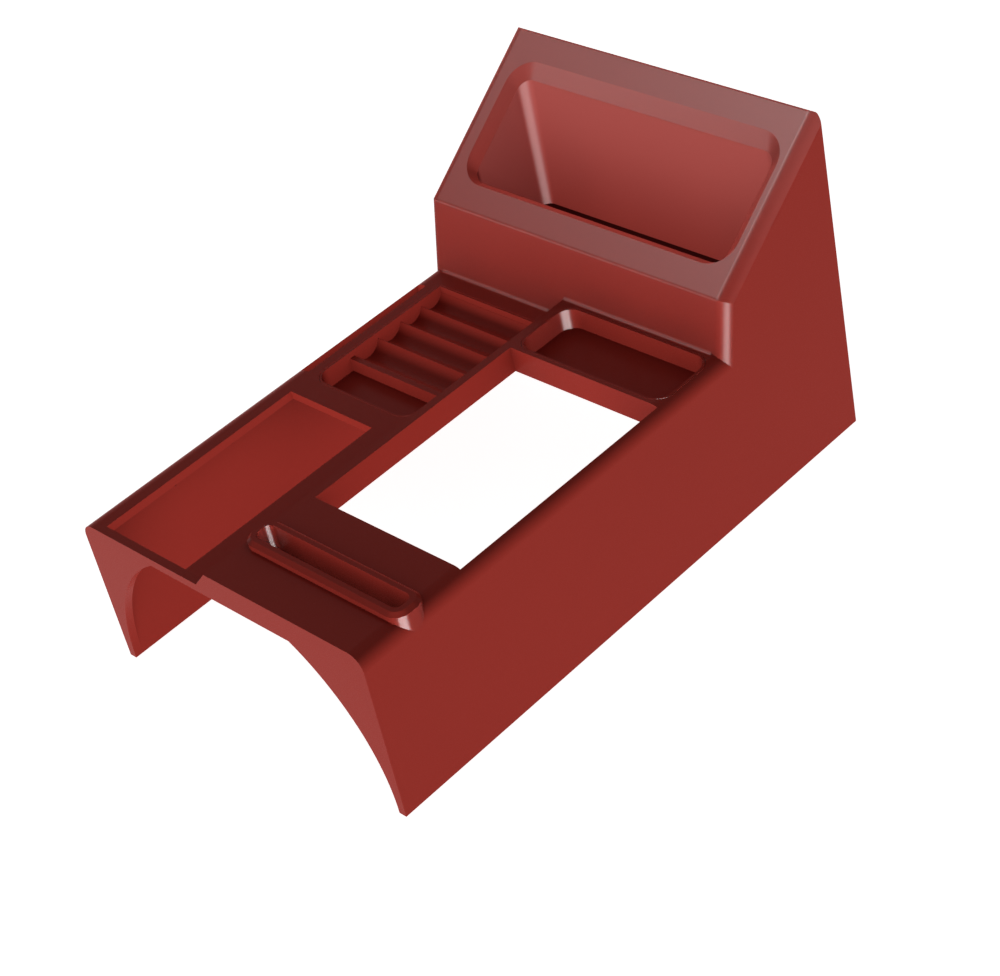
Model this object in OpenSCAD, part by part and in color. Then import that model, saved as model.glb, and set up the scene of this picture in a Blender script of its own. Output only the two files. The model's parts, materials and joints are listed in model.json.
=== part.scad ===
// Over-tunnel console organizer: a saddle body with a coin rack, trays, a card slot and a dash bin.
// +X is the raised side, +Y runs towards the bin, +Z is up. The rubber feet stand on z = 0.

/* [Body] */
// Distance from the near face to the pod's foot, along the low deck
deck_len = 354.8; // [335:0.1:390]
// Clear width between the two legs
inner_w = 278.6; // [262:0.1:310]
// Wall of the legs, decks and end panels
wall = 6.6; // [6:0.1:8]
// Height of a leg, from its lower edge to the top of the low deck
leg_h = 126.4; // [110:0.1:160]
// Height of the raised deck above the low deck
step_h = 14.6; // [10:0.1:20]
// Width taken by the slanted riser between the decks
step_run = 13.5; // [8:0.1:18]
// Radius of the rolled long edges of the decks
roll_r = 12; // [9:0.5:14]

/* [Front bay] */
// Plastic left between the low leg and the bay
bay_margin = 14.2; // [13:0.1:20]
// Plastic left between the bay and the riser
bay_riser_gap = 18.5; // [12:0.1:30]
// Plastic left between the bay and the rack's pocket
bay_rack_gap = 20.5; // [18:0.1:30]

/* [Lever opening] */
// Distance from the near face to the lever opening
lever_y = 97.2; // [85:0.1:105]

/* [Card slot] */
// Distance from the near face to the middle of the slot
slot_y = 48.8; // [46:0.1:52]
// Distance from the riser's top edge to the slot
slot_in = 6.6; // [6:0.1:30]
// Thickness of the collar at its outer end
collar_out = 7.1; // [7:0.1:12]
// Width of the slot
slot_w = 14.9; // [10:0.1:18]
// Depth of the slot below the raised deck
slot_depth = 18; // [12:0.1:19]
// Height of the collar above the raised deck
collar_h = 6.8; // [4:0.1:12]
// Thickness of the collar along its long sides
collar_side = 6.5; // [5:0.1:8]
// Thickness of the collar at its inner end
collar_end = 6.2; // [5:0.1:6.4]
// Bevel round the collar's rim
collar_bevel = 2.9; // [1:0.1:3.2]

/* [Coin rack] */
// Distance from the low leg's inner face to the rack's pocket
rack_x = 18; // [17.5:0.1:19]
// Plastic left between the rack's pocket and the riser
rack_riser_gap = 3.4; // [3:0.1:12]
// Distance from the rack's pocket to the pod's foot
rack_pod_gap = 16.8; // [15:0.1:24]
// Length of the small compartment in front of the grooves
compartment_len = 35.2; // [25:0.1:35.3]
// Width of the divider behind the compartment
divider_w = 4.6; // [3:0.1:5]
// Width of the flat between two grooves
ridge_w = 0.4; // [0.3:0.1:1]
// Width of the flat behind the last groove
rack_end_w = 0.2; // [0.2:0.1:3]
// Height of the grooves' axes above the ridges
groove_axis_h = 3.6; // [2:0.1:5]
// Drop from the low deck to the ridges between the grooves
ridge_drop = 5; // [3:0.1:7]
// Depth of the compartment below the low deck
compartment_depth = 16; // [12:0.1:17]
// Corner radius at the near end of the rack
rack_r = 12.5; // [6:0.1:15]
// Wall of the lift-out inserts
insert_wall = 1.6; // [1.2:0.1:2]
// Clearance round the lift-out inserts
insert_gap = 0.3; // [0.2:0.05:0.5]

/* [Rear tray] */
// Plastic between the middle plane and the tray's pocket
tray_x = 2; // [1.9:0.1:4]
// Plastic between the lever opening and the tray's pocket
tray_lip = 4.6; // [4:0.1:6]
// Length of the tray's pocket along the body
tray_len = 54.5; // [40:0.1:64]
// Distance from the tray's pocket to the pod's foot
tray_pod_gap = 2.8; // [2.6:0.1:6]
// Depth of the tray below the raised deck
tray_depth = 16.6; // [12:0.1:17]
// Corner radius of the tray's pocket
tray_r = 12; // [6:0.1:18]

/* [Pen trough] */
// Length of the trough
trough_len = 125; // [100:0.1:126]
// Distance from the trough to the pod's foot
trough_pod_gap = 21.8; // [16:0.1:30]
// Width of the trough's mouth
trough_w = 10.2; // [8:0.1:10.4]
// Plastic left between the side face and the mouth
trough_lip = 4.1; // [3.5:0.1:5]
// Depth of the trough below the low deck
trough_depth = 20; // [15:0.1:24]

/* [Bin pod] */
// Length of the pod at the low deck
pod_len = 132; // [125:0.1:134]
// Height of the pod's front edge above the low deck
pod_front_h = 56.2; // [45:0.1:70]
// Lean of the pod's front face
pod_lean = 12; // [5:0.5:15]
// Rise of the pod's slope
pod_slope = 36.1; // [30:0.1:40]
// Radius of the pod's rolled side edges
pod_roll_r = 9; // [8.5:0.5:12]
// Radius of the pod's front edge
front_edge_r = 3.5; // [1:0.1:6]
// Radius of the pod's top edge
top_edge_r = 1.8; // [1:0.1:4]
// Radius of the cove at the pod's foot
foot_cove = 2.5; // [1:0.1:3]
// Distance from the pod's front edge up the slope to the bin's mouth
mouth_s = 21.2; // [18:0.1:28]
// Distance from the bin's mouth up the slope to the pod's top edge
mouth_top = 24.1; // [23.8:0.1:34]
// Distance from the low side's outer face to the bin's mouth
mouth_left = 18.1; // [16:0.1:24]
// Distance from the raised side's outer face to the bin's mouth
mouth_right = 12.5; // [12.2:0.1:20]
// Corner radius of the bin's mouth
mouth_r = 22; // [15:0.1:30]
// Flare of the mouth at its sides
flare_side = 8.4; // [4:0.1:10]
// Flare of the mouth at its upper edge
flare_top = 12.5; // [6:0.1:14]
// Flare of the mouth at its lower edge
flare_low = 4; // [2:0.1:6]
// Corner radius inside the bin
bin_r = 11; // [6:0.1:16]
// Height of the bin's floor above the low deck
bin_floor = 8.6; // [4:0.1:20]
// How much the bin narrows towards its floor, on each side
bin_draft = 3.2; // [1:0.1:6]
// Wall of the bin liner
liner_wall = 2.4; // [2:0.1:3]

/* [Brackets and feet] */
// Width of a floor bracket along the leg
bracket_w = 30; // [24:1:40]
// Height of a floor bracket
bracket_h = 34; // [30:1:45]
// Reach of a floor bracket's foot
bracket_foot = 27; // [22:1:32]
// Thickness of the bracket steel
bracket_t = 2; // [1.5:0.1:3]
// Distance of the floor bolts from the leg's inner face
bolt_x = 15; // [13:0.5:18]
// Radius of the floor bolt holes
bolt_r = 3.3; // [2.7:0.1:4.5]
// Distance from the near face to the near floor bolts
bolt_near = 160; // [60:0.1:175]
// Distance from the rear face to the rear floor bolts
bolt_rear = 46; // [40:0.1:70]
// Width of the rubber foot strips
strip_w = 3; // [2:0.1:4]
// Height of the rubber foot strips
strip_h = 3.5; // [3:0.1:5]
// How far the rubber stands below the legs
foot_proud = 0.5; // [0.3:0.1:1]

/* [Hidden] */
$fn = 64;

shell_red = [0.62, 0.16, 0.13];
insert_red = [0.60, 0.15, 0.12];
steel_grey = [0.68, 0.69, 0.70];
brass_yellow = [0.78, 0.62, 0.30];
rubber_black = [0.08, 0.08, 0.08];

// Planes of the body
x_in = inner_w / 2;
x_out = x_in + wall;
body_len = deck_len + pod_len;
y_near = -body_len / 2;
y_rear = body_len / 2;
foot_y = y_rear - pod_len;
low_z = foot_proud + leg_h;
high_z = low_z + step_h;
under_z = low_z - wall;
step_top_x = -wall;
step_foot_x = step_top_x - step_run;
past = 1;          // how far a cutter runs past a face
far = 400;         // longer than any wall in the part

// Coin rack: the grooves hold the usual coin sizes, largest first
coin_r = [12.9, 12.3, 11.6, 11.3];
function chord(r) = 2 * sqrt(r * r - groove_axis_h * groove_axis_h);
function chords_to(i) = i < 1 ? 0 : chords_to(i - 1) + chord(coin_r[i - 1]) + ridge_w;
rack_len = compartment_len + divider_w + chords_to(len(coin_r)) - ridge_w + rack_end_w;
rack_x0 = -x_in + rack_x;
rack_w = step_foot_x - rack_riser_gap - rack_x0;
rack_y0 = foot_y - rack_pod_gap - rack_len;
rack_floor_z = low_z - max(compartment_depth, ridge_drop + max(coin_r) - groove_axis_h);
rack_bottom_z = rack_floor_z - insert_wall;
ridge_z = low_z - ridge_drop;

// Rear tray
tray_x0 = tray_x;
tray_x1 = x_in - insert_wall - insert_gap;
tray_y0 = foot_y - tray_pod_gap - tray_len;
lever_y0 = y_near + lever_y;
lever_y1 = tray_y0 - tray_lip;
tray_floor_z = high_z - tray_depth;
tray_bottom_z = tray_floor_z - insert_wall;
tray_ledge = 8;

// Card holster
slot_x0 = step_top_x + slot_in;
slot_mid_y = y_near + slot_y;
pocket_x1 = x_in - liner_wall;
pocket_floor_z = high_z - slot_depth;
collar_x0 = slot_x0 - collar_end;
collar_x1 = x_out;
slot_x1 = collar_x1 - collar_out;
collar_r = 11;
slot_r = 5;

// Pen trough
trough_x0 = -x_out + trough_lip;
trough_x1 = trough_x0 + trough_w;
trough_y0 = foot_y - trough_pod_gap - trough_len;
trough_wall = 1.8;

// Pod: its front edge is where the front face and the slope meet
edge_y = foot_y + pod_front_h * tan(pod_lean);
edge_z = low_z + pod_front_h;
function front_y(z, off) = foot_y + (z - low_z) * tan(pod_lean) + off / cos(pod_lean);
function slope_z(y, off) = edge_z + (y - edge_y) * tan(pod_slope) - off / cos(pod_slope);
// Height at which the front face and the slope meet when both lie a distance off inside
function meet_z(off) = (slope_z(front_y(0, off), off)) / (1 - tan(pod_lean) * tan(pod_slope));
function meet(off) = [front_y(meet_z(off), off), meet_z(off)];

// Bin mouth and liner, in the slope's own frame where that is simpler
mouth_len = (y_rear - edge_y) / cos(pod_slope) - mouth_s - mouth_top;
mouth_x0 = -x_out + mouth_left;
mouth_x1 = x_out - mouth_right;
bin_x0 = mouth_x0 + flare_side;
bin_x1 = mouth_x1 - flare_side;
function slope_y(s, off) = edge_y + s * cos(pod_slope) + off * sin(pod_slope);
bin_y0 = slope_y(mouth_s + flare_low, wall);
bin_y1 = slope_y(mouth_s + mouth_len - flare_top, wall);
bin_floor_z = low_z + bin_floor;
flange_w = 12;
flange_side = 4;
flange_up = 6.3;
flange_t = 3;

// Rib under the pod's foot
rib_h = 28;
rib_y0 = front_y(under_z, 0);

// Cleats: legs, thickness and where their screws stand
cleat_leg = 10;
cleat_t = 3;
screw_at = 6.4;
screw_down = 7;
short_cleat = 40;     // a cleat under this length has one screw into the side panel

// Screws
screw_r = 1.4;
screw_head_r = 2.3;
screw_head_h = 1.6;
screw_len = 8;
rear_screw_r = 1.9;
rear_head_r = 3.6;
rear_head_h = 2.3;
bracket_screw_r = 2;
bracket_head_r = 3.8;
bracket_head_h = 2.6;
washer_r = 5;
washer_t = 0.8;
insert_r = 2.9;
insert_len = 5;
screw_gap = 0.05;

// ---------- frames ----------

// Draws an outline given as [y, z] between two values of x
module along_x(x0, x1) {
    translate([x0, 0, 0])
        rotate([90, 0, 90])
            linear_extrude(x1 - x0)
                children();
}

// Draws an outline given as [x, z] between two values of y
module along_y(y0, y1) {
    translate([0, y1, 0])
        rotate([90, 0, 0])
            linear_extrude(y1 - y0)
                children();
}

// Local y runs up the slope from the front edge, local z points out of it
module on_slope() {
    translate([0, edge_y, edge_z])
        rotate([pod_slope, 0, 0])
            children();
}

// Local y runs up the front face, local z points out of it
module on_front() {
    translate([0, edge_y, edge_z])
        rotate([90 - pod_lean, 0, 0])
            children();
}

module box(low, high) {
    translate(low)
        cube(high - low);
}

module rounded_rect(x0, y0, x1, y1, r) {
    union() {
        translate([x0 + r, y0])
            square([x1 - x0 - 2 * r, y1 - y0]);
        translate([x0, y0 + r])
            square([x1 - x0, y1 - y0 - 2 * r]);
        for (x = [x0 + r, x1 - r], y = [y0 + r, y1 - r])
            translate([x, y])
                circle(r);
    }
}

// A rectangle in plan whose two near corners are round
module near_rounded(x0, y0, x1, y1, r) {
    union() {
        translate([x0 + r, y0])
            square([x1 - x0 - 2 * r, y1 - y0]);
        translate([x0, y0 + r])
            square([x1 - x0, y1 - y0 - r]);
        for (x = [x0 + r, x1 - r])
            translate([x, y0 + r])
                circle(r);
    }
}

// ---------- outlines of the body ----------

// Low half of the body's section, out to x1
module low_outline(x1) {
    union() {
        translate([-x_out, foot_proud])
            square([x_out + x1, leg_h - roll_r]);
        translate([-x_out + roll_r, foot_proud])
            square([x_out - roll_r + x1, leg_h]);
        translate([-x_out + roll_r, low_z - roll_r])
            circle(roll_r);
    }
}

// Raised half of the body's section, with the riser on its low side
module high_outline() {
    union() {
        polygon([[step_foot_x, foot_proud], [x_out - roll_r, foot_proud],
            [x_out - roll_r, high_z], [step_top_x, high_z], [step_foot_x, low_z]]);
        translate([0, foot_proud])
            square([x_out, leg_h + step_h - roll_r]);
        translate([x_out - roll_r, high_z - roll_r])
            circle(roll_r);
    }
}

// All of a section that lies above a height
module above(z0) {
    translate([-far, z0])
        square(2 * far);
}

module arch_outline() {
    intersection() {
        translate([0, foot_proud])
            circle(x_in, $fn = 180);
        translate([-x_in - past, -far])
            square([2 * (x_in + past), far + under_z]);
    }
}

// Full-width section of the pod with both top corners rolled; its top lies at 0
module rolled_outline(depth) {
    union() {
        translate([-x_out, -depth])
            square([2 * x_out, depth - pod_roll_r]);
        translate([-x_out + pod_roll_r, -depth])
            square([2 * (x_out - pod_roll_r), depth]);
        for (side = [-1, 1])
            translate([side * (x_out - pod_roll_r), -pod_roll_r])
                circle(pod_roll_r);
    }
}

// Side view of the pod, a distance off inside its faces, open below and behind
module pod_profile(off, z0, y1) {
    polygon([[front_y(z0, off), z0], [y1, z0], [y1, slope_z(y1, off)], meet(off)]);
}

// Rounds the edge at a corner of the side view: a wedge outside the arc, as a cutter
module edge_cutter(corner, dir_a, dir_b, r) {
    half = acos(dir_a * dir_b) / 2;
    reach = r / tan(half);
    mid = (dir_a + dir_b) / norm(dir_a + dir_b);
    centre = corner + mid * (r / sin(half));
    difference() {
        polygon([corner - mid * past, corner + dir_a * reach, centre, corner + dir_b * reach]);
        translate(centre)
            circle(r);
    }
}

// The pod as one solid, with its rolled side edges
module pod_solid(z0) {
    slope_dir = [cos(pod_slope), sin(pod_slope)];
    front_dir = [-sin(pod_lean), -cos(pod_lean)];
    top_corner = [y_rear, slope_z(y_rear, 0)];
    difference() {
        intersection() {
            along_x(-x_out, x_out)
                pod_profile(0, z0, y_rear);
            on_slope()
                along_y(-far, far)
                    rolled_outline(far);
            on_front()
                along_y(-far, far)
                    rolled_outline(far);
        }
        along_x(-x_out - past, x_out + past) {
            edge_cutter([edge_y, edge_z], front_dir, slope_dir, front_edge_r);
            edge_cutter(top_corner, -slope_dir, [0, -1], top_edge_r);
        }
    }
}

// ---------- cleats ----------

// Each row: where it sits, its side (-1 low, 1 raised), its start and its length
function cleat_row(i) = [
    ["deck", -1, y_near + wall + cleat_gap, rack_y0 - y_near - wall - 4 * cleat_gap],
    ["deck", 1, y_near + wall + cleat_gap, slot_y - slot_w / 2 - collar_side - wall - 2 * cleat_gap],
    ["deck", 1, slot_mid_y + slot_w / 2 + collar_side + cleat_gap,
        lever_y - wall - slot_y - slot_w / 2 - collar_side - 2 * cleat_gap],
    ["near", -1, near_cleat_z0, near_cleat_len],
    ["near", 1, near_cleat_z0, near_cleat_len],
    ["rear", -1, rear_cleat_z1, rear_cleat_z1 - rear_cleat_z0],
    ["rear", 1, rear_cleat_z1, rear_cleat_z1 - rear_cleat_z0],
    ["pod", -1, mouth_s - cleat_leg, mouth_len + cleat_leg + 2],
    ["pod", 1, mouth_s - cleat_leg, mouth_len + cleat_leg + 2],
    ["rib", -1, under_z - rib_h, rib_h - cleat_gap],
    ["rib", 1, under_z - rib_h, rib_h - cleat_gap]][i];
cleat_count = 11;
cleat_gap = 3;
near_cleat_len = 28;
near_cleat_z0 = under_z - cleat_leg - 2 - near_cleat_len;
rear_cleat_z0 = bracket_h + 12;
rear_cleat_z1 = slope_z(y_rear - wall - cleat_leg, wall + cleat_leg) - 2;

function cleat_kind(i) = cleat_row(i)[0];
function cleat_side(i) = cleat_row(i)[1];
function cleat_len(i) = cleat_row(i)[3];

// Brings local corner x = 0, z = 0 to the corner that cleat i fills, along local y
module at_cleat(i) {
    start = cleat_row(i)[2];
    mirror([cleat_side(i) > 0 ? 1 : 0, 0, 0]) {
        if (cleat_kind(i) == "deck")
            translate([-x_in, start, cleat_side(i) < 0 ? under_z : high_z - wall])
                children();
        if (cleat_kind(i) == "near")
            translate([-x_in, y_near + wall, start])
                rotate([90, 0, 0])
                    children();
        if (cleat_kind(i) == "rib")
            translate([-x_in, rib_y0 + wall, start])
                rotate([90, 0, 0])
                    children();
        if (cleat_kind(i) == "rear")
            translate([-x_in, y_rear - wall, start])
                rotate([-90, 0, 0])
                    children();
        if (cleat_kind(i) == "pod")
            on_slope()
                translate([-x_in, start, -wall])
                    children();
    }
}

// Places along a cleat of the screws that hold the panel above it, and the side panel
function cap_screws(i) = cleat_kind(i) == "rear" ? [0.12, 0.42, 0.72]
    : cleat_kind(i) == "pod" ? [0.1, 0.94] : [0.2, 0.8];
function side_screws(i) = cleat_kind(i) == "rear" ? [0.05, 0.5, 0.95]
    : cleat_len(i) < short_cleat ? [0.5] : [0.35, 0.65];

module cleat(i) {
    color(shell_red)
        at_cleat(i)
            difference() {
                union() {
                    translate([0, 0, -cleat_t])
                        cube([cleat_leg, cleat_len(i), cleat_t]);
                    translate([0, 0, -cleat_leg])
                        cube([cleat_t, cleat_len(i), cleat_leg]);
                }
                cap_bores(i, screw_r + screw_gap);
                side_bores(i, screw_r + screw_gap);
                side_sinks(i);
            }
}

// Bores for the screws that stand along local z
module cap_bores(i, r) {
    bore_r = cleat_kind(i) == "rear" ? rear_screw_r + screw_gap : r;
    for (part = cap_screws(i))
        translate([screw_at, part * cleat_len(i), -cleat_t - past])
            cylinder(r = bore_r, h = cleat_t + past + wall - 1.2);
}

// Bores for the screws that run into the side panel along local x
module side_bores(i, r) {
    for (part = side_screws(i))
        translate([1.2 - wall, part * cleat_len(i), -screw_down])
            rotate([0, 90, 0])
                cylinder(r = r, h = wall - 1.2 + cleat_t + past);
}

// Sinks for the heads of those screws
module side_sinks(i) {
    for (part = side_screws(i))
        translate([cleat_t - screw_head_h, part * cleat_len(i), -screw_down])
            rotate([0, 90, 0])
                cylinder(r = screw_head_r + 2 * screw_gap, h = screw_head_h + past);
}

// Pan-head screw with a cross recess: head above local z = 0, shank below
module screw(r, head_r, head_h, shank) {
    bevel = 0.5;
    difference() {
        union() {
            translate([0, 0, -shank])
                cylinder(r = r, h = shank);
            cylinder(r = head_r, h = head_h - bevel);
            translate([0, 0, head_h - bevel])
                cylinder(r1 = head_r, r2 = head_r - bevel, h = bevel);
        }
        for (turn = [0, 90])
            rotate([0, 0, turn])
                translate([-head_r * 0.55, -head_r * 0.11, head_h * 0.4])
                    cube([head_r * 1.1, head_r * 0.22, head_h]);
    }
}

module cleat_screws() {
    color(steel_grey)
        for (i = [0 : cleat_count - 1])
            at_cleat(i) {
                if (cleat_kind(i) != "rear")
                    for (part = cap_screws(i))
                        translate([screw_at, part * cleat_len(i), -cleat_t])
                            rotate([180, 0, 0])
                                screw(screw_r, screw_head_r, screw_head_h, screw_len);
                for (part = side_screws(i))
                    translate([cleat_t - screw_head_h, part * cleat_len(i), -screw_down])
                        rotate([0, 90, 0])
                            screw(screw_r, screw_head_r, screw_head_h, screw_len - screw_head_h);
            }
}

// ---------- body panels ----------

module near_bulkhead() {
    color(shell_red)
        difference() {
            along_y(y_near, y_near + wall)
                difference() {
                    union() {
                        low_outline(step_foot_x + past);
                        high_outline();
                    }
                    arch_outline();
                }
            for (i = [0 : cleat_count - 1])
                if (cleat_kind(i) == "near")
                    at_cleat(i)
                        cap_bores(i, screw_r);
        }
}

// Flat side panel: leg and pod cheek in one, up to the rolled edges above it
module side_panel(side, top_z) {
    x0 = side < 0 ? -x_out : x_in;
    strip_x = side * (x_in + wall / 2);
    difference() {
        along_x(x0, x0 + wall)
            polygon([[y_near + wall, foot_proud], [y_rear, foot_proud],
                [y_rear, slope_z(y_rear, pod_roll_r)], meet(pod_roll_r),
                [front_y(top_z - roll_r, pod_roll_r), top_z - roll_r],
                [y_near + wall, top_z - roll_r]]);
        for (i = [0 : cleat_count - 1])
            if (cleat_side(i) == side)
                at_cleat(i)
                    side_bores(i, screw_r);
        box([strip_x - strip_w / 2, strip_y0, -past], [strip_x + strip_w / 2, strip_y1, strip_h]);
        for (y = bracket_ys, hand = [-1, 1])
            translate([side * x_in, y + hand * bracket_screw_y, bracket_screw_z])
                rotate([0, side * 90, 0])
                    cylinder(r = insert_r, h = insert_len);
    }
}

module left_side_panel() {
    color(shell_red)
        side_panel(-1, low_z);
}

module right_side_panel() {
    color(shell_red)
        side_panel(1, high_z);
}

// What the pod takes away from a deck: all behind its front face and inside its rolled corners
module pod_clearance() {
    on_front()
        along_y(-far, 0)
            rolled_outline(far);
}

deck_y1 = front_y(high_z, pod_roll_r) + 4;   // the decks' skirts run on under the pod's rolled corner

module left_deck() {
    color(shell_red)
        difference() {
            along_y(y_near + wall, deck_y1)
                difference() {
                    intersection() {
                        low_outline(step_foot_x);
                        above(low_z - roll_r);
                    }
                    translate([-x_in, low_z - roll_r - past])
                        square([x_in, roll_r + past - wall]);
                }
            pod_clearance();
            box([-x_in, foot_y, under_z - past], [step_foot_x + past, deck_y1 + past, low_z + past]);
            box([-x_in + bay_margin, y_near, under_z - past],
                [step_foot_x - bay_riser_gap, rack_y0 - bay_rack_gap, low_z + past]);
            translate([0, 0, under_z - past])
                linear_extrude(wall + 2 * past)
                    rack_plan(insert_wall + insert_gap);
            box([trough_x0, trough_y0, low_z - 9], [trough_x1, trough_y0 + trough_len, low_z + past]);
            for (i = [0 : cleat_count - 1])
                if (cleat_kind(i) == "deck" && cleat_side(i) < 0)
                    at_cleat(i)
                        cap_bores(i, screw_r);
            cradle_bores(screw_r);
        }
}

module right_deck() {
    color(shell_red)
        difference() {
            union() {
                along_y(y_near + wall, deck_y1)
                    difference() {
                        intersection() {
                            high_outline();
                            above(high_z - roll_r);
                        }
                        translate([0, high_z - roll_r - past])
                            square([x_in, roll_r + past - wall]);
                    }
                along_y(y_near + wall, foot_y)
                    polygon([[step_foot_x, under_z], [0, under_z], [0, high_z],
                        [step_top_x, high_z], [step_foot_x, low_z]]);
                lever_flanges();
                tray_ledge_ring();
            }
            pod_clearance();
            box([step_foot_x - past, front_y(high_z, 0), under_z - past],
                [x_in, deck_y1 + past, high_z + past]);
            box([0, lever_y0, under_z - past], [x_in, lever_y1, high_z + past]);
            translate([0, 0, tray_bottom_z])
                linear_extrude(far)
                    tray_plan(insert_wall + insert_gap);
            collar_body();
            translate([0, 0, pocket_floor_z - liner_wall])
                linear_extrude(far)
                    pocket_plan(liner_wall);
            for (i = [0 : cleat_count - 1])
                if (cleat_kind(i) == "deck" && cleat_side(i) > 0)
                    at_cleat(i)
                        cap_bores(i, screw_r);
        }
}

// Down-turned flanges in front of and behind the lever opening
module lever_flanges() {
    box([0, lever_y0 - wall, under_z], [x_in, lever_y0, high_z - wall]);
    box([0, lever_y1, under_z], [x_in, tray_y0 - insert_wall - insert_gap, high_z - wall]);
}

// Frame under the rear tray that it rests on
module tray_ledge_ring() {
    ring_y1 = front_y(under_z, 0);
    difference() {
        box([0, lever_y1, under_z], [x_in, ring_y1, tray_bottom_z]);
        box([tray_ledge, tray_y0 + tray_ledge, under_z - past],
            [x_in - tray_ledge, ring_y1 - tray_ledge, tray_bottom_z + past]);
    }
}

// ---------- pod ----------

// The flared hole through the slope plate
module mouth_cutter() {
    lip = 0.02;
    on_slope()
        hull() {
            linear_extrude(lip)
                rounded_rect(mouth_x0, mouth_s, mouth_x1, mouth_s + mouth_len, mouth_r);
            translate([0, 0, -wall - lip])
                linear_extrude(lip)
                    bin_outline(0);
        }
}

// Concave fillet where the front face meets a deck of height z
module cove(x0, x1, z) {
    corner = [front_y(z, 0), z];
    up = [sin(pod_lean), cos(pod_lean)];
    opening = 90 + pod_lean;
    reach = foot_cove / tan(opening / 2);
    centre = corner + [-reach, foot_cove];
    along_x(x0, x1)
        difference() {
            polygon([corner + up * reach, centre, corner + [-reach, 0], corner + [past, 0],
                corner + up * reach + [past, 0]]);
            translate(centre)
                circle(foot_cove);
        }
}

module pod_face() {
    color(shell_red)
        difference() {
            union() {
                pod_solid(under_z);
                cove(-x_out + roll_r, step_foot_x, low_z);
                cove(step_top_x, x_out - roll_r, high_z);
            }
            along_x(-x_in, x_in)
                pod_profile(wall, under_z - past, y_rear + past);
            along_x(-x_out - past, x_out + past)
                pod_profile(pod_roll_r, under_z - past, y_rear + past);
            box([-x_out - past, foot_y - past, under_z - past], [-x_in, y_rear, low_z - roll_r]);
            box([x_in, foot_y - past, under_z - past], [x_out + past, y_rear, high_z - roll_r]);
            mouth_cutter();
            for (i = [0 : cleat_count - 1])
                if (cleat_kind(i) == "pod")
                    at_cleat(i)
                        cap_bores(i, screw_r);
            bin_bores(screw_r);
        }
}

module rear_panel() {
    color(shell_red)
        difference() {
            along_x(-x_in, x_in)
                polygon([[y_rear - wall, foot_proud], [y_rear - wall, slope_z(y_rear - wall, wall)],
                    [y_rear, slope_z(y_rear, wall)], [y_rear, foot_proud]]);
            along_y(y_rear - wall - past, y_rear + past)
                arch_outline();
            for (i = [0 : cleat_count - 1])
                if (cleat_kind(i) == "rear")
                    at_cleat(i)
                        for (part = cap_screws(i))
                            translate([screw_at, part * cleat_len(i), -past])
                                cylinder(r = rear_screw_r + screw_gap, h = wall + 2 * past);
        }
}

module rear_panel_screws() {
    color(steel_grey)
        for (i = [0 : cleat_count - 1])
            if (cleat_kind(i) == "rear")
                at_cleat(i)
                    for (part = cap_screws(i))
                        translate([screw_at, part * cleat_len(i), wall])
                            screw(rear_screw_r, rear_head_r, rear_head_h, wall + cleat_t + 2);
}

// Drafted block of the bin's shape, grown by off: from height z0 up to the mouth's inner outline
module bin_block(off, z0) {
    slice = 0.02;
    hull() {
        translate([0, 0, z0])
            linear_extrude(slice)
                bin_plan(off - bin_draft);
        on_slope()
            translate([0, 0, -wall])
                linear_extrude(slice)
                    bin_outline(off);
    }
}

// The mouth's outline on the slope plate's inner side, grown by off
module bin_outline(off) {
    rounded_rect(bin_x0 - off, mouth_s + flare_low - off, bin_x1 + off,
        mouth_s + mouth_len - flare_top + off, bin_r + off);
}

module bin_plan(off) {
    rounded_rect(bin_x0 - off, bin_y0 - off, bin_x1 + off, bin_y1 + off, bin_r + off);
}

// Bin liner: a deep box hung from a flange under the slope plate
module bin_liner() {
    color(insert_red)
        difference() {
            union() {
                intersection() {
                    bin_block(liner_wall, bin_floor_z - liner_wall);
                    along_x(-x_in, x_in)
                        pod_profile(wall, low_z - wall, y_rear);
                }
                on_slope()
                    translate([0, 0, -wall - flange_t])
                        linear_extrude(flange_t)
                            bin_flange_plan();
            }
            bin_block(0, bin_floor_z);
            bin_bores(screw_r + screw_gap);
        }
}

module bin_flange_plan() {
    rounded_rect(bin_x0 - flange_side, mouth_s + flare_low - flange_w, bin_x1 + flange_side,
        mouth_s + mouth_len + flange_up, bin_r);
}

// Places of the liner's screws, in the slope's frame
bin_screw_xs = [bin_x0 + 2 * bin_r, (bin_x0 + bin_x1) / 2, bin_x1 - 2 * bin_r];
bin_screw_ss = [mouth_s + flare_low - flange_w + flange_up / 2, mouth_s + mouth_len + flange_up / 2];

module bin_bores(r) {
    on_slope()
        for (x = bin_screw_xs, s = bin_screw_ss)
            translate([x, s, -wall - flange_t - past])
                cylinder(r = r, h = flange_t + past + wall - 1.2);
}

module bin_screws() {
    color(steel_grey)
        on_slope()
            for (x = bin_screw_xs, s = bin_screw_ss)
                translate([x, s, -wall - flange_t])
                    rotate([180, 0, 0])
                        screw(screw_r, screw_head_r, screw_head_h, screw_len);
}

module rear_cross_rib() {
    color(shell_red)
        difference() {
            box([-x_in, rib_y0, under_z - rib_h], [x_in, rib_y0 + wall, under_z]);
            for (i = [0 : cleat_count - 1])
                if (cleat_kind(i) == "rib")
                    at_cleat(i)
                        cap_bores(i, screw_r);
        }
}

// ---------- inserts ----------

module rack_plan(off) {
    near_rounded(rack_x0 - off, rack_y0 - off, rack_x0 + rack_w + off, rack_y0 + rack_len + off,
        rack_r + off);
}

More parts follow.
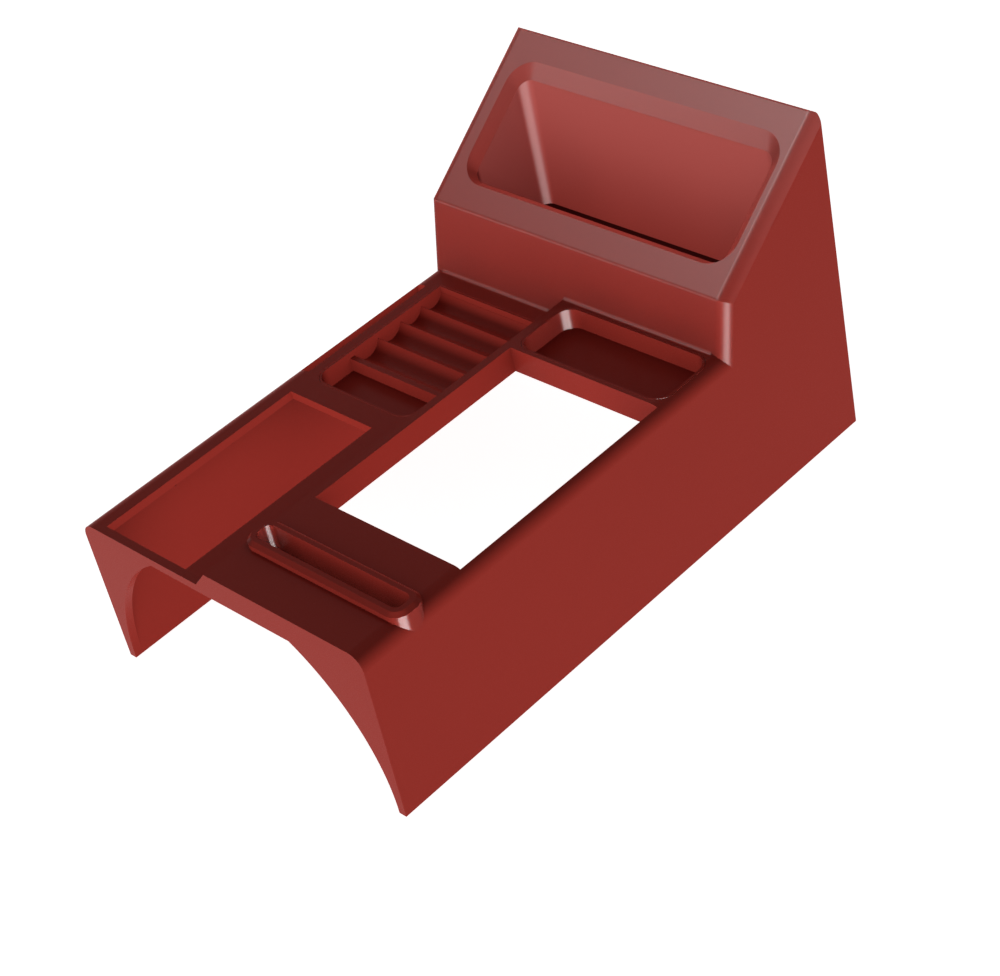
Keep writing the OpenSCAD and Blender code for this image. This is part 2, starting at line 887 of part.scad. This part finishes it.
module coin_rack() {
    color(insert_red)
        difference() {
            translate([0, 0, rack_bottom_z])
                linear_extrude(low_z - rack_bottom_z)
                    rack_plan(insert_wall);
            translate([0, 0, ridge_z])
                linear_extrude(far)
                    rack_plan(0);
            translate([0, 0, low_z - compartment_depth])
                linear_extrude(far)
                    intersection() {
                        rack_plan(0);
                        translate([rack_x0 - past, rack_y0 - past])
                            square([rack_w + 2 * past, compartment_len + past]);
                    }
            for (i = [0 : len(coin_r) - 1])
                translate([rack_x0, rack_y0 + compartment_len + divider_w + chords_to(i)
                    + chord(coin_r[i]) / 2, ridge_z + groove_axis_h])
                    rotate([0, 90, 0])
                        cylinder(r = coin_r[i], h = rack_w);
        }
}

cradle_wall = 2.4;
cradle_flange = 8;
cradle_ledge = 4;
cradle_floor = 3;

// Frame that hangs under the low deck and carries the coin rack
module rack_cradle() {
    gap = insert_wall + insert_gap;
    y0 = rack_y0 - gap - cradle_wall;
    y1 = rack_y0 + rack_len + gap + cradle_wall;
    color(insert_red)
        difference() {
            union() {
                translate([0, 0, rack_bottom_z - cradle_floor])
                    linear_extrude(under_z - rack_bottom_z + cradle_floor)
                        rack_plan(gap + cradle_wall);
                box([rack_x0 + rack_r, y0 - cradle_flange, under_z - cradle_wall],
                    [rack_x0 + rack_w - rack_r, y1 + cradle_flange, under_z]);
            }
            translate([0, 0, rack_bottom_z])
                linear_extrude(far)
                    rack_plan(gap);
            translate([0, 0, rack_bottom_z - cradle_floor - past])
                linear_extrude(far)
                    rack_plan(-cradle_ledge);
            cradle_bores(screw_r + screw_gap);
        }
}

cradle_screw_xs = [rack_x0 + rack_r + 8, rack_x0 + rack_w - rack_r - 8];
cradle_screw_ys = [rack_y0 - insert_wall - insert_gap - cradle_wall - cradle_flange / 2,
    rack_y0 + rack_len + insert_wall + insert_gap + cradle_wall + cradle_flange / 2];

module cradle_bores(r) {
    for (x = cradle_screw_xs, y = cradle_screw_ys)
        translate([x, y, under_z - cradle_wall - past])
            cylinder(r = r, h = cradle_wall + past + wall - 1.2);
}

module cradle_screws() {
    color(steel_grey)
        for (x = cradle_screw_xs, y = cradle_screw_ys)
            translate([x, y, under_z - cradle_wall])
                rotate([180, 0, 0])
                    screw(screw_r, screw_head_r, screw_head_h, screw_len - 0.6);
}

module tray_plan(off) {
    rounded_rect(tray_x0 - off, tray_y0 - off, tray_x1 + off, tray_y0 + tray_len + off,
        tray_r + off);
}

module rear_tray() {
    color(insert_red)
        intersection() {
            difference() {
                translate([0, 0, tray_bottom_z])
                    linear_extrude(high_z - tray_bottom_z)
                        tray_plan(insert_wall);
                translate([0, 0, tray_floor_z])
                    linear_extrude(far)
                        tray_plan(0);
            }
            along_y(y_near, y_rear)
                high_outline();
        }
}

module pocket_plan(off) {
    rounded_rect(slot_x0 - off, slot_mid_y - slot_w / 2 - off, pocket_x1 + off,
        slot_mid_y + slot_w / 2 + off, slot_r + off);
}

collar_y0 = slot_mid_y - slot_w / 2 - collar_side;
collar_y1 = slot_mid_y + slot_w / 2 + collar_side;

// The collar's outer form, from the underside of the raised deck up, and lower in the rolled edge
module collar_body() {
    for (cut = [[-far, wall], [x_in, roll_r]])
        intersection() {
            translate([0, 0, high_z - cut[1]])
                linear_extrude(cut[1] + collar_h)
                    rounded_rect(collar_x0, collar_y0, collar_x1, collar_y1, collar_r);
            box([cut[0], y_near, foot_proud], [far, y_rear, high_z + collar_h + past]);
        }
}

// Draws a section all round the collar: its wall stands at x = 0, and outwards is -x
module round_collar() {
    for (turn = [0, 180])
        rotate_about((collar_x0 + collar_x1) / 2, slot_mid_y, turn) {
            translate([collar_x0 + collar_r, collar_y0, 0])
                rotate([90, 0, 90])
                    linear_extrude(collar_x1 - collar_x0 - 2 * collar_r)
                        children();
            translate([collar_x0, collar_y1 - collar_r, 0])
                rotate([90, 0, 0])
                    linear_extrude(collar_y1 - collar_y0 - 2 * collar_r)
                        children();
            translate([collar_x0 + collar_r, collar_y0 + collar_r, 0])
                rotate([0, 0, 180])
                    rotate_extrude(angle = 90)
                        translate([collar_r, 0])
                            mirror([1, 0])
                                children();
            translate([collar_x0 + collar_r, collar_y1 - collar_r, 0])
                rotate([0, 0, 90])
                    rotate_extrude(angle = 90)
                        translate([collar_r, 0])
                            mirror([1, 0])
                                children();
        }
}

module rotate_about(x, y, turn) {
    translate([x, y, 0])
        rotate([0, 0, turn])
            translate([-x, -y, 0])
                children();
}

// Section that is cut off the collar's rim to bevel it, with its top at 0
module rim_section() {
    polygon([[-past, -collar_bevel - past], [collar_bevel + past, past], [-past, past]]);
}

module card_holster() {
    color(insert_red)
        difference() {
            union() {
                difference() {
                    collar_body();
                    translate([0, 0, high_z + collar_h])
                        round_collar()
                            rim_section();
                }
                translate([0, 0, pocket_floor_z - liner_wall])
                    linear_extrude(high_z - pocket_floor_z + liner_wall)
                        pocket_plan(liner_wall);
            }
            translate([0, 0, pocket_floor_z])
                linear_extrude(far)
                    pocket_plan(0);
            translate([0, 0, high_z])
                linear_extrude(far)
                    rounded_rect(slot_x0, slot_mid_y - slot_w / 2, slot_x1,
                        slot_mid_y + slot_w / 2, slot_r);
        }
}

// Trough bonded under the low deck and against the leg
module pen_trough() {
    x0 = -x_in;
    x1 = trough_x1 + trough_wall;
    floor_z = low_z - trough_depth;
    color(insert_red)
        difference() {
            box([x0, trough_y0 - trough_wall, floor_z - trough_wall],
                [x1, trough_y0 + trough_len + trough_wall, under_z]);
            box([x0 + trough_wall, trough_y0, floor_z],
                [trough_x1, trough_y0 + trough_len, under_z + past]);
        }
}

// ---------- feet and brackets ----------

strip_y0 = y_near + wall + 6;
strip_y1 = y_rear - 6;

module foot_strip(side) {
    mid = side * (x_in + wall / 2);
    color(rubber_black)
        box([mid - strip_w / 2, strip_y0, 0], [mid + strip_w / 2, strip_y1, strip_h]);
}

bracket_ys = [y_near + bolt_near, y_rear - bolt_rear];
bracket_screw_y = 9;
bracket_screw_z = 22;
bend_r = 4;

// Steel angle against the leg's inner face; its foot lies on the floor
module bracket(side, y) {
    color(steel_grey)
        translate([side * x_in, y, 0])
            mirror([side > 0 ? 1 : 0, 0, 0])
                difference() {
                    along_y(-bracket_w / 2, bracket_w / 2)
                        bracket_section();
                    translate([bolt_x, 0, -past])
                        cylinder(r = bolt_r, h = bracket_t + 2 * past);
                    for (hand = [-1, 1])
                        translate([-past, hand * bracket_screw_y, bracket_screw_z])
                            rotate([0, 90, 0])
                                cylinder(r = bracket_screw_r + 0.2, h = bracket_t + 2 * past);
                }
}

module bracket_section() {
    difference() {
        union() {
            translate([bend_r, 0])
                square([bracket_foot - bend_r, bracket_t]);
            translate([0, bend_r])
                square([bracket_t, bracket_h - bend_r]);
            intersection() {
                translate([bend_r, bend_r])
                    circle(bend_r);
                square(bend_r);
            }
        }
        translate([bend_r, bend_r])
            circle(bend_r - bracket_t);
    }
}

// Brings local z = 0 to the leg's inner face at each bracket screw, pointing inwards
module at_bracket_screws() {
    for (side = [-1, 1], y = bracket_ys, hand = [-1, 1])
        translate([side * x_in, y + hand * bracket_screw_y, bracket_screw_z])
            rotate([0, -side * 90, 0])
                children();
}

module bracket_screws() {
    color(steel_grey)
        at_bracket_screws()
            translate([0, 0, bracket_t + washer_t])
                screw(bracket_screw_r, bracket_head_r, bracket_head_h,
                    bracket_t + washer_t + insert_len - 0.5);
}

module bracket_washers() {
    color(steel_grey)
        at_bracket_screws()
            translate([0, 0, bracket_t])
                difference() {
                    cylinder(r = washer_r, h = washer_t);
                    translate([0, 0, -past])
                        cylinder(r = bracket_screw_r + 0.15, h = washer_t + 2 * past);
                }
}

module bracket_inserts() {
    color(brass_yellow)
        at_bracket_screws()
            translate([0, 0, -insert_len])
                difference() {
                    cylinder(r = insert_r, h = insert_len);
                    translate([0, 0, -past])
                        cylinder(r = bracket_screw_r + screw_gap, h = insert_len + 2 * past);
                }
}

near_bulkhead();
left_side_panel();
right_side_panel();
left_deck();
right_deck();
pod_face();
rear_panel();
bin_liner();
coin_rack();
rack_cradle();
rear_tray();
card_holster();
pen_trough();
rear_cross_rib();
foot_strip(-1);  // left_foot_strip
foot_strip(1);  // right_foot_strip
cleat(0);  // left_deck_cleat
cleat(1);  // right_deck_cleat_near
cleat(2);  // right_deck_cleat_mid
cleat(3);  // left_near_cleat
cleat(4);  // right_near_cleat
cleat(5);  // left_rear_cleat
cleat(6);  // right_rear_cleat
cleat(7);  // left_pod_cleat
cleat(8);  // right_pod_cleat
cleat(9);  // left_rib_cleat
cleat(10);  // right_rib_cleat
bracket(-1, bracket_ys[0]);  // left_near_bracket
bracket(1, bracket_ys[0]);  // right_near_bracket
bracket(-1, bracket_ys[1]);  // left_rear_bracket
bracket(1, bracket_ys[1]);  // right_rear_bracket
cleat_screws();
rear_panel_screws();
bin_screws();
cradle_screws();
bracket_screws();
bracket_washers();
bracket_inserts();
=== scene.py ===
import json
import math
import bpy
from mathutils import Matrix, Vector


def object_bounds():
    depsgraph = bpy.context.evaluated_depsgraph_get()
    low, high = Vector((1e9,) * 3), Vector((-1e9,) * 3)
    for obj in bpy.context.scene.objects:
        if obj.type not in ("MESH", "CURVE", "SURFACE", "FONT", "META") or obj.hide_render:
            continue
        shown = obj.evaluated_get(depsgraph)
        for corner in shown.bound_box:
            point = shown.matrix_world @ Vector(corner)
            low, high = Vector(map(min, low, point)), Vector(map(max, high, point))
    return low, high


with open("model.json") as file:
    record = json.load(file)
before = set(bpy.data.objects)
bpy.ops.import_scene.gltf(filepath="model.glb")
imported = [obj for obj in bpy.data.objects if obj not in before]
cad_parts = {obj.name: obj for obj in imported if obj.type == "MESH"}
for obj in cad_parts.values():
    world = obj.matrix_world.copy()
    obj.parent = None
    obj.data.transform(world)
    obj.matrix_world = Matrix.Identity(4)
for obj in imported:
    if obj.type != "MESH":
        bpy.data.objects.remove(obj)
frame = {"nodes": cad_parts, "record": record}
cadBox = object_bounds()
scene = bpy.context.scene
print("frame loaded:", len(frame["nodes"]), "nodes")


cameraSet = {
    "place": (1.11368, -0.87015, 1.12690),
    "turn": (51.7734, 10.4440, 43.5080),   # degrees, leaning a little to one side
    "lens": 87.725,
    "sensor": 36.0,
    "shift": (-0.0007, 0.00045),   # share of the frame's width
}


def makeCamera(facts):
    data = bpy.data.cameras.new("camera")
    data.lens = facts["lens"]
    data.sensor_width = facts["sensor"]
    data.shift_x, data.shift_y = facts["shift"]
    camera = bpy.data.objects.new("camera", data)
    camera.location = facts["place"]
    camera.rotation_euler = [math.radians(a) for a in facts["turn"]]
    scene.collection.objects.link(camera)
    scene.camera = camera


makeCamera(cameraSet)
print("camera set")


def newGroup(name, inputs, outputs):
    group = bpy.data.node_groups.new(name, "ShaderNodeTree")
    for label, kind, value in inputs:
        socket = group.interface.new_socket(label, in_out="INPUT", socket_type=kind)
        socket.default_value = value
    for label, kind in outputs:
        group.interface.new_socket(label, in_out="OUTPUT", socket_type=kind)
    return group, group.nodes.new("NodeGroupInput"), group.nodes.new("NodeGroupOutput")


def addNode(tree, kind, inputs=None, **settings):
    node = tree.nodes.new(kind)
    for key, value in settings.items():
        setattr(node, key, value)
    for socket, value in (inputs or {}).items():
        if isinstance(value, bpy.types.NodeSocket):
            tree.links.new(value, node.inputs[socket])
        else:
            node.inputs[socket].default_value = value
    return node


def placeGroup(tree, group, inputs):
    return addNode(tree, "ShaderNodeGroup", inputs, node_tree=group)


def doMath(tree, operation, first, second, **settings):
    node = addNode(tree, "ShaderNodeMath", {0: first, 1: second}, operation=operation, **settings)
    return node.outputs[0]


def scaleColor(tree, color, level):
    node = addNode(tree, "ShaderNodeVectorMath", {0: color, "Scale": level}, operation="SCALE")
    return node.outputs[0]


mixSocket = {"share": 0, "under": 6, "over": 7, "result": 2}   # a Mix node's colour sockets


def mixColors(tree, share, under, over):
    inputs = {mixSocket["share"]: share, mixSocket["under"]: under, mixSocket["over"]: over}
    return addNode(tree, "ShaderNodeMix", inputs, data_type="RGBA").outputs[mixSocket["result"]]


def objectPlace(tree):
    return tree.nodes.new("ShaderNodeTexCoord").outputs["Object"]


plainGrey = (0.5, 0.5, 0.5, 1)
paleTint = (0.6, 0.3, 0.3, 1)

grainSet = {"smoothness": 0.6, "detail": 3.0, "roughness": 0.55}


def makeGrainGroup(facts):
    # fine moulded grain: a height for bump and a mask for roughness
    group, given, out = newGroup(
        "mouldedGrain",
        [("Scale", "NodeSocketFloat", 900.0), ("Depth", "NodeSocketFloat", 1.0)],
        [("Height", "NodeSocketFloat"), ("Mask", "NodeSocketFloat")],
    )
    where = objectPlace(group)
    cells = addNode(group, "ShaderNodeTexVoronoi",
                    {"Vector": where, "Scale": given.outputs["Scale"],
                     "Smoothness": facts["smoothness"]}, feature="SMOOTH_F1")
    noise = addNode(group, "ShaderNodeTexNoise",
                    {"Vector": where, "Scale": given.outputs["Scale"],
                     "Detail": facts["detail"], "Roughness": facts["roughness"]})
    both = doMath(group, "MULTIPLY", cells.outputs["Distance"], noise.outputs["Fac"])
    deep = doMath(group, "MULTIPLY", both, given.outputs["Depth"])
    group.links.new(deep, out.inputs["Height"])
    group.links.new(noise.outputs["Fac"], out.inputs["Mask"])
    return group


driftSet = {"fineScale": 320.0, "detail": 2.0}


def makeDriftGroup(facts):
    # slow drift of colour over a moulded panel, with a finer one on top
    group, given, out = newGroup(
        "colourDrift",
        [("Color", "NodeSocketColor", plainGrey), ("Scale", "NodeSocketFloat", 9.0),
         ("Amount", "NodeSocketFloat", 0.06)],
        [("Color", "NodeSocketColor")],
    )
    where = objectPlace(group)
    slow = addNode(group, "ShaderNodeTexNoise",
                   {"Vector": where, "Scale": given.outputs["Scale"], "Detail": facts["detail"]})
    fine = addNode(group, "ShaderNodeTexNoise",
                   {"Vector": where, "Scale": facts["fineScale"], "Detail": facts["detail"]})
    mixed = doMath(group, "ADD", slow.outputs["Fac"], fine.outputs["Fac"])
    centred = doMath(group, "SUBTRACT", mixed, 1.0)
    scaled = doMath(group, "MULTIPLY", centred, given.outputs["Amount"])
    level = doMath(group, "ADD", scaled, 1.0)
    group.links.new(scaleColor(group, given.outputs["Color"], level), out.inputs["Color"])
    return group


wearSet = {
    "samples": 4,
    "flatBelow": 0.98,     # how far a rounded normal may agree with the flat one before wear starts
    "wornAt": 0.80,
    "patchScale": 60.0,
    "patchDetail": 4.0,
}


def makeWearGroup(facts):
    # paler, rubbed line along sharp edges, broken up by noise
    group, given, out = newGroup(
        "edgeWear",
        [("Radius", "NodeSocketFloat", 0.0008), ("Amount", "NodeSocketFloat", 0.5)],
        [("Mask", "NodeSocketFloat")],
    )
    rounded = addNode(group, "ShaderNodeBevel", {"Radius": given.outputs["Radius"]},
                      samples=facts["samples"])
    flat = addNode(group, "ShaderNodeNewGeometry")
    along = addNode(group, "ShaderNodeVectorMath",
                    {0: rounded.outputs[0], 1: flat.outputs["Normal"]}, operation="DOT_PRODUCT")
    turned = addNode(group, "ShaderNodeMapRange",
                     {"Value": along.outputs["Value"], "From Min": facts["flatBelow"],
                      "From Max": facts["wornAt"], "To Min": 0.0, "To Max": 1.0})
    patchy = addNode(group, "ShaderNodeTexNoise",
                     {"Vector": objectPlace(group), "Scale": facts["patchScale"],
                      "Detail": facts["patchDetail"]})
    broken = doMath(group, "MULTIPLY", turned.outputs[0], patchy.outputs["Fac"])
    amount = doMath(group, "MULTIPLY", broken, given.outputs["Amount"], use_clamp=True)
    group.links.new(amount, out.inputs["Mask"])
    return group


shadeSet = {"samples": 8}


def makeShadeGroup(facts):
    # painted shade: the colour darkens in pockets and along inner corners, by ambient occlusion,
    # where shade falls
    group, given, out = newGroup(
        "cornerShade",
        [("Color", "NodeSocketColor", plainGrey), ("Reach", "NodeSocketFloat", 0.05),
         ("Depth", "NodeSocketFloat", 1.3)],
        [("Color", "NodeSocketColor")],
    )
    openness = addNode(group, "ShaderNodeAmbientOcclusion",
                       {"Distance": given.outputs["Reach"]}, samples=facts["samples"])
    level = doMath(group, "POWER", openness.outputs["AO"], given.outputs["Depth"])
    group.links.new(scaleColor(group, given.outputs["Color"], level), out.inputs["Color"])
    return group


heightTintSet = {"faceUpAt": 0.6}   # a face tilted this far up or more fades fully


def makeHeightTintGroup(facts):
    # tint by height and facing, used for painted light and shade: towards a given colour over a
    # band of heights, most where the face looks up; paler on upper faces as painted sheen with pale
    # dust, darker at the bin's floor as painted shade
    group, given, out = newGroup(
        "heightTint",
        [("Color", "NodeSocketColor", plainGrey), ("TintColor", "NodeSocketColor", paleTint),
         ("From", "NodeSocketFloat", 0.15), ("To", "NodeSocketFloat", 0.27),
         ("Amount", "NodeSocketFloat", 0.2), ("Upright", "NodeSocketFloat", 0.3)],
        [("Color", "NodeSocketColor")],
    )
    parts = addNode(group, "ShaderNodeSeparateXYZ", {0: objectPlace(group)})
    height = addNode(group, "ShaderNodeMapRange",
                     {"Value": parts.outputs["Z"], "From Min": given.outputs["From"],
                      "From Max": given.outputs["To"], "To Min": 0.0,
                      "To Max": given.outputs["Amount"]}, interpolation_type="SMOOTHSTEP")
    surface = addNode(group, "ShaderNodeNewGeometry")
    facing = addNode(group, "ShaderNodeSeparateXYZ", {0: surface.outputs["Normal"]})
    upward = addNode(group, "ShaderNodeMapRange",
                     {"Value": facing.outputs["Z"], "From Min": 0.0, "From Max": facts["faceUpAt"],
                      "To Min": given.outputs["Upright"], "To Max": 1.0})
    share = doMath(group, "MULTIPLY", height.outputs[0], upward.outputs[0])
    tinted = mixColors(group, share, given.outputs["Color"], given.outputs["TintColor"])
    group.links.new(tinted, out.inputs["Color"])
    return group


grainGroup = makeGrainGroup(grainSet)
driftGroup = makeDriftGroup(driftSet)
wearGroup = makeWearGroup(wearSet)
shadeGroup = makeShadeGroup(shadeSet)
heightTintGroup = makeHeightTintGroup(heightTintSet)


# one brick red plastic; the pieces differ in gloss, painted corner shade, painted sheen with pale
# dust on the upper faces, and a painted shade at the bin's floor
redPlastic = {
    "color": (0.287, 0.0280, 0.0200), "grainScale": 1800.0, "grainDepth": 0.5, "bump": 0.05,
    "drift": 0.05, "wear": 0.06, "specular": 0.026,
}
shellPlastic = {
    **redPlastic, "grainScale": 1500.0,
    "roughness": (0.22, 0.30), "shadeReach": 0.07, "shadeDepth": 0.85,
}
podPlastic = {
    **redPlastic, "grainScale": 1500.0,
    "roughness": (0.34, 0.42), "shadeReach": 0.07, "shadeDepth": 1.2,
    # painted sheen with pale dust on the pod's upper faces
    "dustAndSheen": (0.70, 0.30, 0.28), "dustAndSheenFrom": 0.15, "dustAndSheenTo": 0.28, "dustAndSheenAmount": 0.12, "upright": 0.8,
}
rackPlastic = {
    **redPlastic, "roughness": (0.26, 0.34), "shadeReach": 0.05, "shadeDepth": 0.45,
}
trayPlastic = {
    **redPlastic, "roughness": (0.22, 0.30), "shadeReach": 0.06, "shadeDepth": 0.58,
}
pocketPlastic = {
    **redPlastic, "roughness": (0.22, 0.30), "shadeReach": 0.03, "shadeDepth": 0.75,
}
troughPlastic = {
    **redPlastic, "roughness": (0.30, 0.38), "shadeReach": 0.05, "shadeDepth": 0.22,
}
binPlastic = {
    **redPlastic, "roughness": (0.36, 0.44), "shadeReach": 0.08, "shadeDepth": 0.24,
    # painted sheen with pale dust on the bin's upper faces and flare
    "dustAndSheen": (0.84, 0.34, 0.32), "dustAndSheenFrom": 0.10, "dustAndSheenTo": 0.25, "dustAndSheenAmount": 0.22, "upright": 0.6,
    # painted shade: near-black tint low in the bin, at its floor
    "floorShade": (0.062, 0.012, 0.011), "floorShadeFrom": 0.142, "floorShadeTo": 0.136, "floorShadeAmount": 0.9,
}
footRubber = {
    "color": (0.018, 0.018, 0.019), "roughness": (0.72, 0.88), "grainScale": 2600.0,
    "grainDepth": 1.0, "bump": 0.25, "drift": 0.12, "wear": 0.2, "specular": 0.35,
}
zincSteel = {
    "color": (0.58, 0.59, 0.61), "roughness": (0.28, 0.45), "grainScale": 700.0,
    "grainDepth": 0.6, "bump": 0.06, "drift": 0.10, "wear": 0.3, "metallic": 1.0,
}
turnedBrass = {
    "color": (0.66, 0.47, 0.20), "roughness": (0.25, 0.40), "grainScale": 1200.0,
    "grainDepth": 0.5, "bump": 0.05, "drift": 0.08, "wear": 0.3, "metallic": 1.0,
}
finishSet = {
    "wornGain": 1.5, "wornLift": 0.05,     # how much paler a rubbed edge is
    "maskLow": 0.3, "maskHigh": 0.7,       # the part of the grain mask that sets the gloss
    "bumpDistance": 0.0004,
}


def opaque(color):
    return (*color, 1)


def makeMaterial(name, facts):
    material = bpy.data.materials.new(name)
    material.use_nodes = True
    tree = material.node_tree
    shader = tree.nodes["Principled BSDF"]
    rubbed = [min(1.0, c * finishSet["wornGain"] + finishSet["wornLift"]) for c in facts["color"]]
    drift = placeGroup(tree, driftGroup,
                       {"Color": opaque(facts["color"]), "Amount": facts["drift"]})
    wear = placeGroup(tree, wearGroup, {"Amount": facts["wear"]})
    tint = mixColors(tree, wear.outputs["Mask"], drift.outputs["Color"], opaque(rubbed))
    # painted sheen with pale dust: paler towards the top and on up-facing faces
    if "dustAndSheenAmount" in facts:
        tint = placeGroup(tree, heightTintGroup,
                          {"Color": tint, "TintColor": opaque(facts["dustAndSheen"]),
                           "From": facts["dustAndSheenFrom"], "To": facts["dustAndSheenTo"],
                           "Amount": facts["dustAndSheenAmount"], "Upright": facts["upright"]}).outputs["Color"]
    # painted shade: the bin's floor darkened to near black at the foot of its walls
    if "floorShade" in facts:      # the same effect, darker and towards the bottom
        tint = placeGroup(tree, heightTintGroup,
                          {"Color": tint, "TintColor": opaque(facts["floorShade"]),
                           "From": facts["floorShadeFrom"], "To": facts["floorShadeTo"],
                           "Amount": facts["floorShadeAmount"], "Upright": 0.0}).outputs["Color"]
    # painted shade: darker in pockets and inner corners, by ambient occlusion
    if "shadeReach" in facts:
        tint = placeGroup(tree, shadeGroup,
                          {"Color": tint, "Reach": facts["shadeReach"],
                           "Depth": facts["shadeDepth"]}).outputs["Color"]
    tree.links.new(tint, shader.inputs["Base Color"])
    grain = placeGroup(tree, grainGroup,
                       {"Scale": facts["grainScale"], "Depth": facts["grainDepth"]})
    glossiest, dullest = facts["roughness"]
    rough = addNode(tree, "ShaderNodeMapRange",
                    {"Value": grain.outputs["Mask"], "From Min": finishSet["maskLow"],
                     "From Max": finishSet["maskHigh"], "To Min": glossiest, "To Max": dullest})
    tree.links.new(rough.outputs[0], shader.inputs["Roughness"])
    bump = addNode(tree, "ShaderNodeBump",
                   {"Strength": facts["bump"], "Distance": finishSet["bumpDistance"],
                    "Height": grain.outputs["Height"]})
    tree.links.new(bump.outputs[0], shader.inputs["Normal"])
    shader.inputs["Metallic"].default_value = facts.get("metallic", 0.0)
    shader.inputs["Specular IOR Level"].default_value = facts.get("specular", 0.5)
    return material


slotMaterial = {
    "shell_plastic": makeMaterial("shellPlastic", shellPlastic),
    "insert_plastic": makeMaterial("rackPlastic", rackPlastic),
    "foot_rubber": makeMaterial("footRubber", footRubber),
    "zinc_steel": makeMaterial("zincSteel", zincSteel),
    "brass": makeMaterial("turnedBrass", turnedBrass),
}
troughMaterial = makeMaterial("troughPlastic", troughPlastic)
ownMaterial = {      # pieces whose finish differs from the rest of their slot
    "card_holster": makeMaterial("pocketPlastic", pocketPlastic),
    "rear_tray": makeMaterial("trayPlastic", trayPlastic),
    "left_deck": troughMaterial,
    "pen_trough": troughMaterial,
    "pod_face": makeMaterial("podPlastic", podPlastic),
    "bin_liner": makeMaterial("binPlastic", binPlastic),
}
slotOf = {s["node"]: s["material_slot"] for s in frame["record"]["subparts"]}
for name, item in frame["nodes"].items():
    item.data.materials.clear()
    item.data.materials.append(ownMaterial.get(name) or slotMaterial[slotOf[name]])
print("materials made:", len(slotMaterial) + len(set(ownMaterial.values())))


def seenRays(tree):
    # 1 for the rays that show the background: the camera's own, reflections and glass
    path = tree.nodes.new("ShaderNodeLightPath")
    seen = doMath(tree, "MAXIMUM", path.outputs["Is Camera Ray"], path.outputs["Is Glossy Ray"])
    return doMath(tree, "MAXIMUM", seen, path.outputs["Is Transmission Ray"])


floorSet = {"size": 12.0, "below": 0.0002, "glow": 0.93, "color": (0.80, 0.80, 0.80)}


def makeFloor(facts):
    mesh = bpy.data.meshes.new("floor")
    half = facts["size"] / 2
    corners = [(-half, -half, 0), (half, -half, 0), (half, half, 0), (-half, half, 0)]
    mesh.from_pydata(corners, [], [(0, 1, 2, 3)])
    floor = bpy.data.objects.new("floor", mesh)
    floor.location.z = cadBox[0][2] - facts["below"]
    floor.visible_shadow = False      # it takes shadows but dims nothing that stands on it
    scene.collection.objects.link(floor)
    material = bpy.data.materials.new("paleFloor")
    material.use_nodes = True
    tree = material.node_tree
    tree.nodes.clear()
    out = tree.nodes.new("ShaderNodeOutputMaterial")
    diffuse = addNode(tree, "ShaderNodeBsdfDiffuse", {"Color": opaque(facts["color"])})
    level = doMath(tree, "MULTIPLY", seenRays(tree), facts["glow"])
    glow = addNode(tree, "ShaderNodeEmission", {"Color": (1, 1, 1, 1), "Strength": level})
    both = addNode(tree, "ShaderNodeAddShader", {0: diffuse.outputs[0], 1: glow.outputs[0]})
    tree.links.new(both.outputs[0], out.inputs["Surface"])
    mesh.materials.append(material)


worldSet = {"level": 0.25}


def makeWorld(facts):
    world = bpy.data.worlds.new("studio")
    world.use_nodes = True
    tree = world.node_tree
    back = tree.nodes["Background"]
    level = addNode(tree, "ShaderNodeMapRange",
                    {"Value": seenRays(tree), "To Min": facts["level"], "To Max": 1.0})
    back.inputs["Color"].default_value = (1, 1, 1, 1)
    tree.links.new(level.outputs[0], back.inputs["Strength"])
    scene.world = world


# from: the direction the light comes from; only: the pieces it falls on, or all if left out
lampSets = {
    "keyLamp": {"from": (0.571, -0.690, -0.445), "strength": 3.68, "spread": 12.0,
                "only": [name for name in frame["nodes"] if name != "bin_liner"]},
    "binKeyLamp": {"from": (0.40, -0.84, -0.37), "strength": 3.1, "spread": 12.0,
                   "only": ["bin_liner"]},
    "fillLamp": {"from": (-0.85, 0.53, 0.0), "strength": 2.3, "spread": 12.0, "glossy": False},
    "slopeLamp": {"from": (-0.50, 0.15, 0.853), "strength": 1.65, "spread": 12.0,
                  "shadows": True, "glossy": False, "only": ["pod_face"]},
    "glossLamp": {"from": (-0.42, -0.30, 0.857), "strength": 17.0, "spread": 12.0,
                  "shadows": True, "diffuse": False, "only": ["pod_face"]},
    "flareLamp": {"from": (-0.617, -0.773, 0.172), "strength": 5.0, "spread": 14.0,
                  "shadows": True, "diffuse": False, "only": ["pod_face"]},
    "stripLamp": {"from": (0.730, -0.356, -0.58), "strength": 75.0, "spread": 48.0,
                  "diffuse": False, "only": ["pod_face", "rear_tray", "card_holster"]},
    "binStripLamp": {"from": (0.60, -0.54, -0.59), "strength": 78.0, "spread": 72.0,
                     "diffuse": False, "only": ["bin_liner"]},
}


def makeSun(name, facts):
    data = bpy.data.lights.new(name, "SUN")
    data.energy = facts["strength"]
    data.angle = math.radians(facts["spread"])
    data.use_shadow = facts.get("shadows", False)
    lamp = bpy.data.objects.new(name, data)
    lamp.rotation_euler = Vector(facts["from"]).to_track_quat("Z", "Y").to_euler()
    lamp.visible_diffuse = facts.get("diffuse", True)
    lamp.visible_glossy = facts.get("glossy", True)
    scene.collection.objects.link(lamp)
    if "only" in facts:
        lit = bpy.data.collections.new(name + "Reach")
        for node in facts["only"]:
            lit.objects.link(frame["nodes"][node])
        lamp.light_linking.receiver_collection = lit


makeFloor(floorSet)
makeWorld(worldSet)
for name, facts in lampSets.items():
    makeSun(name, facts)
scene.view_settings.view_transform = "Standard"
print("stage and lamps set:", len(lampSets), "lamps")
